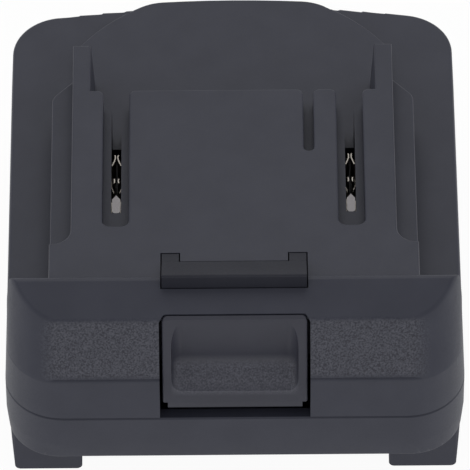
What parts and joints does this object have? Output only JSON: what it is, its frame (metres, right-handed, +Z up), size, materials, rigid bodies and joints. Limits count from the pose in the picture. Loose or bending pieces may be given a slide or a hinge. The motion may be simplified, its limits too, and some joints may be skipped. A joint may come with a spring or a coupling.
{
  "type": "tool battery adapter",
  "caption": "Slide-on adapter that fits a cordless tool's rails on top and carries a different battery in the open channel between its feet, with a sprung push latch.",
  "frame": {"origin": "middle of the box round the whole object, at the bottom of its feet", "axes": "+Z up out of the slide plateau, +Y from the push button towards the rounded end, +X to the right seen from the button"},
  "size_m": [0.0776, 0.0892, 0.0443],
  "materials": {
    "shell_plastic": "fine moulded satin",
    "button_plastic": "satin",
    "hook_plastic": "satin",
    "holder_plastic": "moulded",
    "block_plastic": "moulded",
    "post_brass": "tin plated",
    "leaf_bronze": "sprung strip",
    "rivet_brass": "plain",
    "blade_brass": "tin plated",
    "spring_steel": "drawn wire",
    "plate_steel": "rolled sheet",
    "screw_steel": "blackened",
    "positive_sleeve": "insulated lead",
    "negative_sleeve": "insulated lead"
  },
  "bodies": {
    "housing": {"upper_housing": "shell_plastic", "lower_housing": "shell_plastic", "latch_spring_left": "spring_steel", "latch_spring_right": "spring_steel", "contact_holder": "holder_plastic", "contact_holder_screws": "screw_steel", "positive_contact_post": "post_brass", "negative_contact_post": "post_brass", "positive_inner_leaf": "leaf_bronze", "positive_outer_leaf": "leaf_bronze", "negative_inner_leaf": "leaf_bronze", "negative_outer_leaf": "leaf_bronze", "contact_rivets": "rivet_brass", "positive_wire": "positive_sleeve", "negative_wire": "negative_sleeve", "terminal_block": "block_plastic", "terminal_block_screws": "screw_steel", "positive_blade": "blade_brass", "negative_blade": "blade_brass", "catch_plate": "plate_steel", "case_screws": "screw_steel"},
    "latch": {"release_button": "button_plastic", "latch_hook": "hook_plastic"}
  },
  "joints": [
    {"name": "latch_slide", "type": "slide", "parent": "housing", "child": "latch", "axis": [0, 0, -1], "range_m": [0, 0.0025], "stiffness_N_per_m": 1200, "springref_m": -0.002, "deforming": ["latch_spring_left", "latch_spring_right"]}
  ]
}
